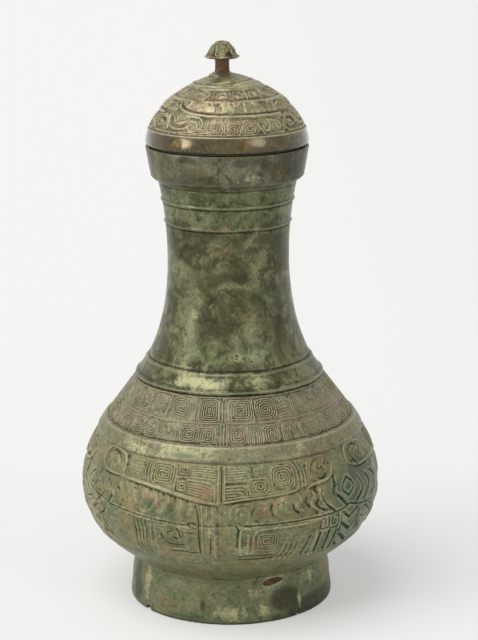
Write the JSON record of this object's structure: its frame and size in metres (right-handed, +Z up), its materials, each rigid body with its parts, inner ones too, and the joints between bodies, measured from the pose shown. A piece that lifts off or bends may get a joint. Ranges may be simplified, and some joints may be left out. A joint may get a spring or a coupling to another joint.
{
  "type": "lidded bronze wine jar",
  "caption": "Tall cast bronze wine jar with a pear-shaped belly, long neck, ring foot and cast thunder-pattern bands, closed by a domed lid with a mushroom knob.",
  "frame": {"origin": "centre of the foot ring's standing face", "axes": "+Z up along the jar's turning axis, -Y towards the front seen in the picture, +X to its right"},
  "size_m": [0.2124, 0.214, 0.4],
  "materials": {
    "bronze_patina": "aged green-brown patina over cast bronze, satin",
    "lid_patina": "aged olive patina over cast bronze, polished at the edge",
    "stem_bronze": "dull red-brown bronze",
    "cap_patina": "grey-green patina, worn on top",
    "spacer_bronze": "dark, slightly rougher bronze",
    "core_clay": "matt red-brown fired clay"
  },
  "bodies": {
    "jar": {"jar_casting": "bronze_patina", "floor_spacer_1": "spacer_bronze", "floor_spacer_2": "spacer_bronze", "floor_spacer_3": "spacer_bronze", "floor_spacer_4": "spacer_bronze", "foot_core_1": "core_clay", "foot_core_2": "core_clay", "foot_core_3": "core_clay"},
    "cover": {"lid_casting": "lid_patina", "lid_spacer_1": "spacer_bronze", "lid_spacer_2": "spacer_bronze", "lid_spacer_3": "spacer_bronze", "knob_stem": "stem_bronze", "knob_cap": "cap_patina"}
  },
  "joints": [
    {"name": "lid_lift", "type": "slide", "parent": "jar", "child": "cover", "axis": [0, 0, 1], "range_m": [0, 0.08]}
  ]
}
